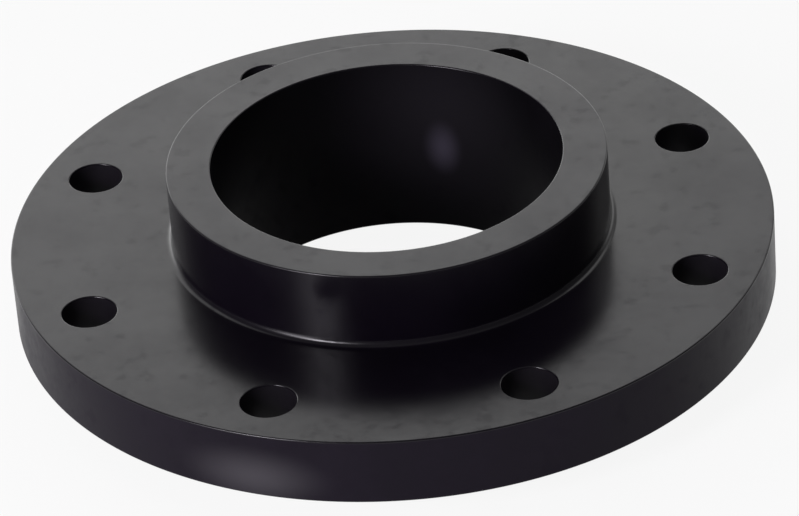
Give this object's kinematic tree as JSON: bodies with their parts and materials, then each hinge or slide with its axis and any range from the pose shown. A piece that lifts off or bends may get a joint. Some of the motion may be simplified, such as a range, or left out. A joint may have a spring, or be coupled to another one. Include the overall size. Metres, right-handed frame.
{
  "type": "weld neck flange",
  "caption": "Round steel pipe flange with a short straight thick-walled hub to weld to a pipe, a through bore, bolt holes round the rim and a raised sealing face under it.",
  "frame": {"origin": "centre of the bore at the level of the raised sealing face, which the flange stands on", "axes": "+Z along the bore from the sealing face to the weld end of the hub; +X and +Y pass midway between two bolt holes"},
  "size_m": [0.254, 0.254, 0.064],
  "materials": {
    "black_enamel": "semi-gloss black"
  },
  "bodies": {
    "root": {"flange": "black_enamel"}
  },
  "joints": []
}
